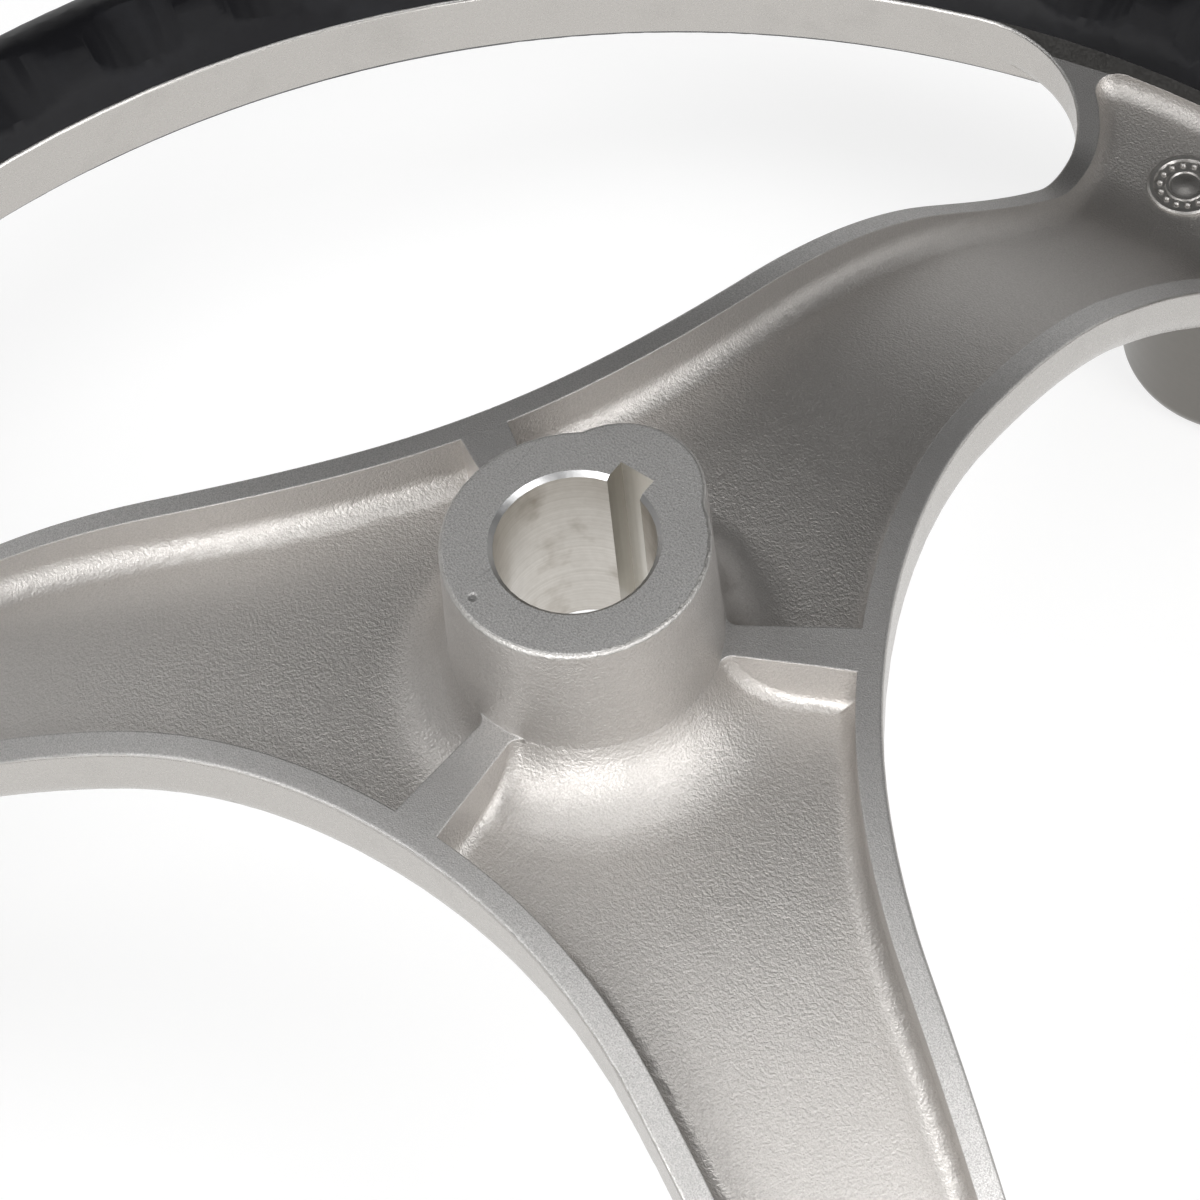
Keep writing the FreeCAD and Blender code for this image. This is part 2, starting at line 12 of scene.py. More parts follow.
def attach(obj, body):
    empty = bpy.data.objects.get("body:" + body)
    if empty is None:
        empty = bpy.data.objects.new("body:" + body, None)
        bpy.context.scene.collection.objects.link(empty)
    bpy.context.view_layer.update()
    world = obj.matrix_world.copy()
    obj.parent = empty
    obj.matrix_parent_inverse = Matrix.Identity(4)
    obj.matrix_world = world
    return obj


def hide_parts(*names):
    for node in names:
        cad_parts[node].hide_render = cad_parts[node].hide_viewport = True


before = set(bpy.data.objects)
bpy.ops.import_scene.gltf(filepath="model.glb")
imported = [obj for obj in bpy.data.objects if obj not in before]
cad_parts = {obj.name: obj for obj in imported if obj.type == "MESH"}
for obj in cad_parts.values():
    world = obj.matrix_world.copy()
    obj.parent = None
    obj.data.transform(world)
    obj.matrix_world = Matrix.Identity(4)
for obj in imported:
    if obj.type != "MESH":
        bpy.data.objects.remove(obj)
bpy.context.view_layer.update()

LOG = logging.getLogger("wheel")
MM = 0.001
MICRON = 0.001 * MM

Colour = tuple[float, float, float]
UNIT_SPAN = (0.0, 1.0)
WHITE = (1.0, 1.0, 1.0)


class Zone(Enum):
    """Surfaces of the casting that are finished in different ways. The keyway's side and floor are one broached
    finish: the side is painted darker as shade and the floor lighter as a highlight.
    """

    BLASTED = 0
    GROUND = 1
    POLISHED = 2
    EDGE = 3
    REAMED = 4
    KEY_SIDE = 5
    KEY_FLOOR = 6
    TURNED = 7
    CHAMFER = 8
    BOSS_TOP = 9
    BOSS_EDGE = 10


class Lay(Enum):
    """Which way the fine lines of a worked metal surface run."""

    ALONG_AXIS = 0
    ROUND_AXIS = 1


# Node helpers

def set_inputs(node: bpy.types.Node, values: dict[str, object]) -> None:
    """Sets a node's plain inputs, by name with underscores for spaces."""
    for name, value in values.items():
        node.inputs[name.replace("_", " ")].default_value = value


def add_node(tree: bpy.types.NodeTree, kind: str, **inputs: object) -> bpy.types.Node:
    """Adds a node and sets its plain inputs.

    Args:
        tree: The node tree that the node goes into.
        kind: The node's type name.
        inputs: Values for inputs, by name with underscores for spaces.

    Returns:
        The new node.
    """
    node = tree.nodes.new(kind)
    set_inputs(node, inputs)
    return node


def add_group(tree: bpy.types.NodeTree, group: bpy.types.NodeTree, **inputs: object) -> bpy.types.Node:
    """Adds a node that uses a group and sets its plain inputs.

    Args:
        tree: The node tree that the node goes into.
        group: The node group.
        inputs: Values for inputs, by name with underscores for spaces.

    Returns:
        The new node.
    """
    node = tree.nodes.new("ShaderNodeGroup")
    node.node_tree = group
    set_inputs(node, inputs)
    return node


def link(tree: bpy.types.NodeTree, source: bpy.types.NodeSocket, target: bpy.types.NodeSocket) -> None:
    """Links two sockets."""
    tree.links.new(source, target)


def feed(tree: bpy.types.NodeTree, value: object, target: bpy.types.NodeSocket) -> None:
    """Links a socket to the target, or sets the target to a plain value."""
    if isinstance(value, bpy.types.NodeSocket):
        link(tree, value, target)
    else:
        target.default_value = value


def math_node(tree: bpy.types.NodeTree, operation: str, first: object, second: object) -> bpy.types.NodeSocket:
    """Adds a math node over sockets or numbers.

    Args:
        tree: The node tree.
        operation: The math operation's name.
        first: A socket or a number.
        second: A socket or a number.

    Returns:
        The node's result.
    """
    node = tree.nodes.new("ShaderNodeMath")
    node.operation = operation
    feed(tree, first, node.inputs[0])
    feed(tree, second, node.inputs[1])
    return node.outputs[0]


def times(tree: bpy.types.NodeTree, first: object, second: object) -> bpy.types.NodeSocket:
    """Multiplies two sockets or numbers."""
    return math_node(tree, "MULTIPLY", first, second)


def plus(tree: bpy.types.NodeTree, first: object, second: object) -> bpy.types.NodeSocket:
    """Adds two sockets or numbers."""
    return math_node(tree, "ADD", first, second)


def ramp(tree: bpy.types.NodeTree, source: bpy.types.NodeSocket, span: tuple[float, float],
         result: tuple[float, float] = UNIT_SPAN) -> bpy.types.NodeSocket:
    """Maps a value from one range to another and clamps it.

    Args:
        tree: The node tree.
        source: The value to map.
        span: Where the range starts and ends.
        result: Results at its start and end.

    Returns:
        The mapped value.
    """
    node = add_node(tree, "ShaderNodeMapRange", From_Min=span[0], From_Max=span[1], To_Min=result[0],
                    To_Max=result[1])
    link(tree, source, node.inputs["Value"])
    return node.outputs["Result"]


def mix_colours(tree: bpy.types.NodeTree, share: bpy.types.NodeSocket, first: object,
                second: object) -> bpy.types.NodeSocket:
    """Mixes two colours.

    Args:
        tree: The node tree.
        share: How much of the second colour there is.
        first: A socket or an RGB triple.
        second: A socket or an RGB triple.

    Returns:
        The mixed colour.
    """
    node = tree.nodes.new("ShaderNodeMix")
    node.data_type = "RGBA"
    link(tree, share, node.inputs["Factor"])
    for name, value in (("A", first), ("B", second)):
        socket = next(s for s in node.inputs if s.name == name and s.type == "RGBA")
        feed(tree, value if isinstance(value, bpy.types.NodeSocket) else (*value, 1.0), socket)
    return next(s for s in node.outputs if s.type == "RGBA")


def new_group(name: str, inputs: dict[str, float], *outputs: str) -> bpy.types.NodeTree:
    """Starts a shader node group.

    Args:
        name: The group's name.
        inputs: Value inputs and their defaults.
        outputs: Names of the value outputs.

    Returns:
        The group, with its input and output nodes in it.
    """
    group = bpy.data.node_groups.new(name, "ShaderNodeTree")
    for key, value in inputs.items():
        socket = group.interface.new_socket(name=key, in_out="INPUT", socket_type="NodeSocketFloat")
        socket.default_value = value
    for key in outputs:
        group.interface.new_socket(name=key, in_out="OUTPUT", socket_type="NodeSocketFloat")
    group.nodes.new("NodeGroupInput")
    group.nodes.new("NodeGroupOutput")
    return group


def group_ends(group: bpy.types.NodeTree) -> tuple[bpy.types.Node, bpy.types.Node]:
    """The input and output nodes of a group."""
    ends = {node.bl_idname: node for node in group.nodes}
    return ends["NodeGroupInput"], ends["NodeGroupOutput"]


def noise(tree: bpy.types.NodeTree, vector: bpy.types.NodeSocket, scale: object, detail: float,
          roughness: float = 0.5) -> bpy.types.NodeSocket:
    """Adds a noise texture.

    Args:
        tree: The node tree.
        vector: Coordinates to read.
        scale: Cells to the metre, as a socket or a number.
        detail: Octaves of detail.
        roughness: How strong the finer octaves are.

    Returns:
        The noise's value.
    """
    node = add_node(tree, "ShaderNodeTexNoise", Detail=detail, Roughness=roughness)
    link(tree, vector, node.inputs["Vector"])
    feed(tree, scale, node.inputs["Scale"])
    return node.outputs["Fac"]


def object_coordinates(tree: bpy.types.NodeTree) -> bpy.types.NodeSocket:
    """The Object coordinates."""
    return tree.nodes.new("ShaderNodeTexCoord").outputs["Object"]


def bump(tree: bpy.types.NodeTree, height: bpy.types.NodeSocket) -> bpy.types.Node:
    """Adds a bump node for a height in metres."""
    node = add_node(tree, "ShaderNodeBump", Distance=1.0)
    link(tree, height, node.inputs["Height"])
    return node


def new_material(name: str, **inputs: object) -> tuple[bpy.types.Material, bpy.types.Node]:
    """Starts a material.

    Args:
        name: The material's name.
        inputs: Values for its shader's inputs, by name with underscores for spaces.

    Returns:
        The material and its shader.
    """
    material = bpy.data.materials.new(name)
    material.use_nodes = True
    shader = material.node_tree.nodes["Principled BSDF"]
    set_inputs(shader, inputs)
    return material, shader


class SurfaceEffects:
    """Node groups for the effects that several finishes use."""

    # Grit: where its noise turns from pale to dark, and its slow swell's scale beside its own
    GRIT_SPAN = (0.35, 0.65)
    SWELL_SCALE = 0.17
    # Wrinkles: where their noise rises, and the slow swell's scale and height beside their own
    WRINKLE_SPAN = (0.3, 0.7)
    WRINKLE_SWELL_SCALE = 0.3
    WRINKLE_SWELL = 0.5
    # Pits: largest radius and width of the slope, in cells
    PIT_RADIUS = 0.22
    PIT_SLOPE = (0.0, 0.06)
    # Tool lines: scale of their slow bands beside their own
    BAND_SCALE = 0.08
    # Stains: where their noise turns dark
    STAIN_SPAN = (0.52, 0.7)
    # Scratches: cells to the metre, how the cells are drawn out and turned, half a scratch's width in cells,
    # and the slow noise that leaves them in patches
    SCRATCH_CELLS = 360.0
    SCRATCH_STRETCH = (1.0, 0.07, 0.5)
    SCRATCH_TURN = (0.2, 0.1, 0.7)
    SCRATCH_WIDTH = (0.0, 0.02)
    PATCH_SCALE = 60.0
    PATCH_SPAN = (0.55, 0.62)

    def __init__(self) -> None:
        """Builds each group once."""
        self.grit = self._grit()
        self.lines = self._lines()
        self.stains = self._stains()
        self.scratches = self._scratches()
        self.wrinkles = self._wrinkles()
        self.pits = self._pits()

    def _grit(self) -> bpy.types.NodeTree:
        """Builds the grainy height of a blasted or ground surface.

        Returns:
            The group.
        """
        group = new_group("pebbled_grit", {"Grains per metre": 1600.0, "Swell": 0.4}, "Height", "Speckle")
        start, end = group_ends(group)
        place = object_coordinates(group)
        scale = start.outputs["Grains per metre"]
        fine = noise(group, place, scale, 3.0, 0.6)
        swell = noise(group, place, times(group, scale, self.SWELL_SCALE), 2.0)
        link(group, plus(group, fine, times(group, swell, start.outputs["Swell"])), end.inputs["Height"])
        link(group, ramp(group, fine, self.GRIT_SPAN), end.inputs["Speckle"])
        return group

    def _wrinkles(self) -> bpy.types.NodeTree:
        """Builds the soft wrinkles that the mould leaves on a cast skin.

        Returns:
            The group.
        """
        group = new_group("cast_wrinkles", {"Wrinkles per metre": 2400.0}, "Height")
        start, end = group_ends(group)
        place = object_coordinates(group)
        scale = start.outputs["Wrinkles per metre"]
        small = noise(group, place, scale, 2.0, 0.6)
        wide = noise(group, place, times(group, scale, self.WRINKLE_SWELL_SCALE), 1.0)
        height = plus(group, ramp(group, small, self.WRINKLE_SPAN), times(group, wide, self.WRINKLE_SWELL))
        link(group, height, end.inputs["Height"])
        return group

    def _pits(self) -> bpy.types.NodeTree:
        """Builds sparse small dents.

        Returns:
            The group.
        """
        group = new_group("sparse_pits", {"Pits per metre": 190.0, "Share": 0.2}, "Pit")
        start, end = group_ends(group)
        cells = add_node(group, "ShaderNodeTexVoronoi", Randomness=1.0)
        link(group, object_coordinates(group), cells.inputs["Vector"])
        link(group, start.outputs["Pits per metre"], cells.inputs["Scale"])
        parts = group.nodes.new("ShaderNodeSeparateColor")
        link(group, cells.outputs["Color"], parts.inputs[0])
        chosen = math_node(group, "LESS_THAN", parts.outputs[0], start.outputs["Share"])
        radius = times(group, parts.outputs[1], self.PIT_RADIUS)
        inside = math_node(group, "SUBTRACT", radius, cells.outputs["Distance"])
        link(group, times(group, chosen, ramp(group, inside, self.PIT_SLOPE)), end.inputs["Pit"])
        return group

    def _lines(self) -> bpy.types.NodeTree:
        """Builds fine tool lines, which run along the shaft axis or round it.

        Returns:
            The group.
        """
        group = new_group("tool_lines", {"Lines per metre": 4000.0, "Round axis": 0.0}, "Lines", "Bands")
        start, end = group_ends(group)
        parts = group.nodes.new("ShaderNodeSeparateXYZ")
        link(group, object_coordinates(group), parts.inputs[0])
        level = group.nodes.new("ShaderNodeCombineXYZ")
        link(group, parts.outputs["Z"], level.inputs["Z"])
        across = group.nodes.new("ShaderNodeCombineXYZ")
        link(group, parts.outputs["X"], across.inputs["X"])
        link(group, parts.outputs["Y"], across.inputs["Y"])
        chosen = group.nodes.new("ShaderNodeMix")
        chosen.data_type = "VECTOR"
        link(group, start.outputs["Round axis"], chosen.inputs["Factor"])
        sockets = [s for s in chosen.inputs if s.type == "VECTOR" and s.name in "AB"]
        link(group, across.outputs[0], sockets[0])
        link(group, level.outputs[0], sockets[1])
        place = next(s for s in chosen.outputs if s.type == "VECTOR")
        scale = start.outputs["Lines per metre"]
        link(group, noise(group, place, scale, 3.0, 0.7), end.inputs["Lines"])
        link(group, noise(group, place, times(group, scale, self.BAND_SCALE), 2.0), end.inputs["Bands"])
        return group

    def _stains(self) -> bpy.types.NodeTree:
        """Builds soft uneven stains.

        Returns:
            The group.
        """
        group = new_group("soft_stains", {"Stains per metre": 90.0}, "Stain")
        start, end = group_ends(group)
        wide = noise(group, object_coordinates(group), start.outputs["Stains per metre"], 4.0, 0.6)
        link(group, ramp(group, wide, self.STAIN_SPAN), end.inputs["Stain"])
        return group

    def _scratches(self) -> bpy.types.NodeTree:
        """Builds sparse short scratches.

        Returns:
            The group.
        """
        group = new_group("sparse_scratches", {"Strength": 0.6}, "Scratch")
        start, end = group_ends(group)
        place = object_coordinates(group)
        patches = noise(group, place, self.PATCH_SCALE, 1.0)
        bent = add_node(group, "ShaderNodeMapping", Scale=self.SCRATCH_STRETCH, Rotation=self.SCRATCH_TURN)
        link(group, place, bent.inputs["Vector"])
        cells = add_node(group, "ShaderNodeTexVoronoi", Scale=self.SCRATCH_CELLS)
        cells.feature = "DISTANCE_TO_EDGE"
        link(group, bent.outputs[0], cells.inputs["Vector"])
        line = ramp(group, cells.outputs["Distance"], self.SCRATCH_WIDTH, (1.0, 0.0))
        marked = times(group, line, ramp(group, patches, self.PATCH_SPAN))
        link(group, times(group, marked, start.outputs["Strength"]), end.inputs["Scratch"])
        return group


@dataclass(frozen=True)
class SteelFinish:
    """A finish of stainless steel.

    Args:
        name: The material's name.
        dark: Colour in the hollows and stains.
        light: Colour on the open surface.
        roughness: Least and most roughness.
        grains: Grains of grit to the metre.
        grit: Height of the grit, in metres.
        swell: How much slow unevenness the grit has.
        lines: Tool lines to the metre, or 0 for none.
        line_height: Height of the tool lines, in metres.
        lay: Which way the tool lines run.
        stain: How strongly stains darken it.
        stains: Stains to the metre.
        scratch: How strongly scratches mark it.
        speckle: How strongly the grit darkens it.
        wrinkle: Height of the cast skin's wrinkles, in metres.
        pits: Share of the surface's cells that have a dent.
        soft_edge: Radius over which sharp edges look worn, in metres, or 0 for none.
    """

    name: str
    dark: Colour
    light: Colour
    roughness: tuple[float, float]
    grains: float = 900.0
    grit: float = 0.0
    swell: float = 0.4
    lines: float = 0.0
    line_height: float = 0.0
    lay: Lay = Lay.ALONG_AXIS
    stain: float = 0.0
    stains: float = 90.0
    scratch: float = 0.0
    speckle: float = 0.1
    wrinkle: float = 0.0
    pits: float = 0.0
    soft_edge: float = 0.0

    # Depth of the pits and how much they darken, colour of the scratches, where the tool lines' noise turns
    # dark and how much, where the roughness changes, and how many rays look for a worn edge
    PIT_DEPTH = 80.0 * MICRON
    PIT_SHADE = 0.6
    SCRATCH_COLOUR = (0.12, 0.12, 0.12)
    LINE_SPAN = (0.3, 0.7)
    LINE_SHADE = (0.0, 0.3)
    ROUGHNESS_SPAN = (0.2, 0.8)
    EDGE_RAYS = 4

    def build(self, effects: SurfaceEffects) -> bpy.types.Material:
        """Builds the material.

        Args:
            effects: The shared node groups.

        Returns:
            The material.
        """
        material, shader = new_material(self.name, Metallic=1.0)
        tree = material.node_tree
        grit = add_group(tree, effects.grit, Grains_per_metre=self.grains, Swell=self.swell)
        stains = add_group(tree, effects.stains, Stains_per_metre=self.stains)
        share = times(tree, stains.outputs["Stain"], self.stain)
        speckle = times(tree, grit.outputs["Speckle"], self.speckle)
        colour = mix_colours(tree, math_node(tree, "MAXIMUM", share, speckle), self.light, self.dark)
        rough_mask = grit.outputs["Speckle"]
        height = times(tree, grit.outputs["Height"], self.grit)
        if self.lines:
            lines = add_group(tree, effects.lines, Lines_per_metre=self.lines, Round_axis=float(self.lay.value))
            height = plus(tree, height, times(tree, lines.outputs["Lines"], self.line_height))
            rough_mask = lines.outputs["Bands"]
            shade = ramp(tree, lines.outputs["Lines"], self.LINE_SPAN, self.LINE_SHADE)
            colour = mix_colours(tree, shade, colour, self.dark)
        if self.scratch:
            scratches = add_group(tree, effects.scratches, Strength=self.scratch)
            colour = mix_colours(tree, scratches.outputs["Scratch"], colour, self.SCRATCH_COLOUR)
        if self.wrinkle:
            wrinkles = add_group(tree, effects.wrinkles)
            height = plus(tree, height, times(tree, wrinkles.outputs["Height"], self.wrinkle))
        if self.pits:
            pits = add_group(tree, effects.pits, Share=self.pits)
            depth = times(tree, pits.outputs["Pit"], self.PIT_DEPTH)
            height = math_node(tree, "SUBTRACT", height, depth)
            shade = times(tree, pits.outputs["Pit"], self.PIT_SHADE)
            colour = mix_colours(tree, shade, colour, self.dark)
        link(tree, colour, shader.inputs["Base Color"])
        link(tree, ramp(tree, rough_mask, self.ROUGHNESS_SPAN, self.roughness), shader.inputs["Roughness"])
        relief = bump(tree, height)
        if self.soft_edge:
            worn = add_node(tree, "ShaderNodeBevel", Radius=self.soft_edge)
            worn.samples = self.EDGE_RAYS
            link(tree, worn.outputs["Normal"], relief.inputs["Normal"])
        link(tree, relief.outputs["Normal"], shader.inputs["Normal"])
        return material


@dataclass(frozen=True)
class PlasticFinish:
    """A finish of rubber or plastic.

    Args:
        name: The material's name.
        dark: Darkest colour.
        light: Lightest colour.
        roughness: Least and most roughness.
        grains: Grains to the metre.
        grit: Height of the grain, in metres.
        specular: Specular level.
    """

    name: str
    dark: Colour
    light: Colour
    roughness: tuple[float, float]
    grains: float = 900.0
    grit: float = 20.0 * MICRON
    specular: float = 0.5

    def build(self, effects: SurfaceEffects) -> bpy.types.Material:
        """Builds the material.

        Args:
            effects: The shared node groups.

        Returns:
            The material.
        """
        material, shader = new_material(self.name, Specular_IOR_Level=self.specular)
        tree = material.node_tree
        grit = add_group(tree, effects.grit, Grains_per_metre=self.grains)
        stain = add_group(tree, effects.stains).outputs["Stain"]
        link(tree, mix_colours(tree, stain, self.dark, self.light), shader.inputs["Base Color"])
        link(tree, ramp(tree, stain, UNIT_SPAN, self.roughness), shader.inputs["Roughness"])
        relief = bump(tree, times(tree, grit.outputs["Height"], self.grit))
        link(tree, relief.outputs["Normal"], shader.inputs["Normal"])
        return material


CASTING_FINISHES = {
    Zone.BLASTED: SteelFinish(
        "blasted_steel", (0.33, 0.315, 0.3), (0.52, 0.5, 0.48), (0.44, 0.56), grains=4200.0, grit=40.0 * MICRON,
        swell=0.5, stain=0.15, speckle=0.3, wrinkle=42.0 * MICRON, soft_edge=0.3 * MM),
    Zone.GROUND: SteelFinish(
        "ground_steel", (0.2, 0.195, 0.19), (0.56, 0.55, 0.54), (0.44, 0.58), grains=5200.0, grit=40.0 * MICRON,
        swell=0.3, stain=0.2, speckle=0.5, soft_edge=0.3 * MM),
    Zone.POLISHED: SteelFinish(
        "polished_steel", (0.4, 0.385, 0.365), (0.51, 0.49, 0.465), (0.26, 0.32), grains=2400.0,
        grit=2.0 * MICRON, swell=0.6, stain=0.3, speckle=0.03),
    Zone.EDGE: SteelFinish(
        "bright_edge", (0.38, 0.37, 0.35), (0.52, 0.505, 0.485), (0.28, 0.36), grains=3000.0, grit=5.0 * MICRON),
    Zone.REAMED: SteelFinish(
        "reamed_steel", (0.2, 0.165, 0.12), (0.62, 0.595, 0.555), (0.26, 0.36), lines=1900.0,
        line_height=1.2 * MICRON, lay=Lay.ROUND_AXIS, stain=0.55, stains=130.0),
    # The keyway's side and floor are the same broached steel. The side's darker colour is painted shade, and the
    # floor's lighter colour is a painted highlight.
    Zone.KEY_SIDE: SteelFinish(
        "broached_side_painted_shade", (0.22, 0.2, 0.17), (0.36, 0.34, 0.3), (0.26, 0.38), lines=2400.0,
        line_height=10.0 * MICRON, stain=0.4),
    Zone.KEY_FLOOR: SteelFinish(
        "broached_floor_painted_highlight", (0.66, 0.64, 0.59), (0.9, 0.88, 0.83), (0.32, 0.42), lines=2400.0,
        line_height=10.0 * MICRON, stain=0.1),
    Zone.TURNED: SteelFinish(
        "turned_face_steel", (0.42, 0.41, 0.4), (0.6, 0.59, 0.57), (0.2, 0.32), lines=2600.0,
        line_height=6.0 * MICRON, lay=Lay.ROUND_AXIS),
    Zone.CHAMFER: SteelFinish(
        "chamfer_steel", (0.32, 0.32, 0.32), (0.47, 0.47, 0.47), (0.34, 0.4)),
    Zone.BOSS_TOP: SteelFinish(
        "boss_face_steel", (0.22, 0.215, 0.21), (0.82, 0.81, 0.795), (0.44, 0.58), grains=3800.0,
        grit=40.0 * MICRON, swell=0.3, stain=0.3, scratch=0.4, speckle=0.72, pits=0.16),
    Zone.BOSS_EDGE: SteelFinish(
        "boss_edge_steel", (0.26, 0.25, 0.24), (0.44, 0.43, 0.415), (0.44, 0.56), grains=2600.0,
        grit=30.0 * MICRON, stain=0.3, wrinkle=50.0 * MICRON),
}
EMBLEM_STEEL = SteelFinish(
    "emblem_steel", (0.26, 0.25, 0.24), (0.5, 0.485, 0.465), (0.36, 0.48), grains=4200.0, grit=20.0 * MICRON,
    speckle=0.4, stain=0.4)
# The knob's colour is painted shade. Its steel is given a far darker tone than the steel's own.
KNOB_STEEL_PAINTED_SHADE = SteelFinish(
    "knob_satin_steel_painted_shade", (0.13, 0.125, 0.115), (0.2, 0.19, 0.175), (0.26, 0.36), lines=5200.0,
    line_height=6.0 * MICRON, lay=Lay.ROUND_AXIS, stain=0.1)
SCREW_STEEL = SteelFinish(
    "screw_steel", (0.4, 0.4, 0.4), (0.62, 0.62, 0.62), (0.2, 0.32), lines=5200.0, line_height=6.0 * MICRON,
    lay=Lay.ROUND_AXIS)
GRIP_RUBBER = PlasticFinish(
    "grip_rubber", (0.0055, 0.0055, 0.0068), (0.0095, 0.0098, 0.0118), (0.42, 0.56), grains=260.0,
    grit=50.0 * MICRON, specular=0.16)
BUSH_PLASTIC = PlasticFinish("bush_plastic", (0.74, 0.73, 0.68), (0.8, 0.79, 0.75), (0.4, 0.5))


def new_piece(name: str, mesh: bpy.types.Mesh) -> bpy.types.Object:
    """Puts an object with a mesh in the scene, at the origin."""
    piece = bpy.data.objects.new(name, mesh)
    bpy.context.scene.collection.objects.link(piece)
    return piece


@dataclass
class SmoothedNode:
    """A copy of a CAD node with its doubles merged, which stands for the node.

    Args:
        node: The CAD node's name.
        body: The body that it rides on.
        slot: The record's material slot; not used.
        merge_distance: Points nearer than this become one, in metres.
        sharp_degrees: Edges sharper than this stay sharp.
        flat_weight: How far large faces lead the shading, from 1 to 100.
    """

    node: str
    body: str
    slot: str
    merge_distance: float = 2.0 * MICRON
    sharp_degrees: float = 28.0
    flat_weight: int = 80

    def copy(self) -> bpy.types.Object:
        """Returns:
            The copy.
        """
        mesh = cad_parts[self.node].data.copy()
        mesh.name = self.node + "_surface"
        piece = new_piece(self.node + "_surface", mesh)
        mesh.materials.clear()
        bm = bmesh.new()
        bm.from_mesh(mesh)
        bmesh.ops.remove_doubles(bm, verts=bm.verts, dist=self.merge_distance)
        for face in bm.faces:
            face.smooth = True
            face.material_index = 0
        bm.to_mesh(mesh)
        bm.free()
        for layer in list(mesh.uv_layers):
            mesh.uv_layers.remove(layer)
        if "custom_normal" in mesh.attributes:
            mesh.attributes.remove(mesh.attributes["custom_normal"])
        mesh.set_sharp_from_angle(angle=math.radians(self.sharp_degrees))
        weighted = piece.modifiers.new("flat_faces_first", "WEIGHTED_NORMAL")
        weighted.keep_sharp = True
        weighted.weight = self.flat_weight
        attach(piece, self.body)
        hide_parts(self.node)
        return piece


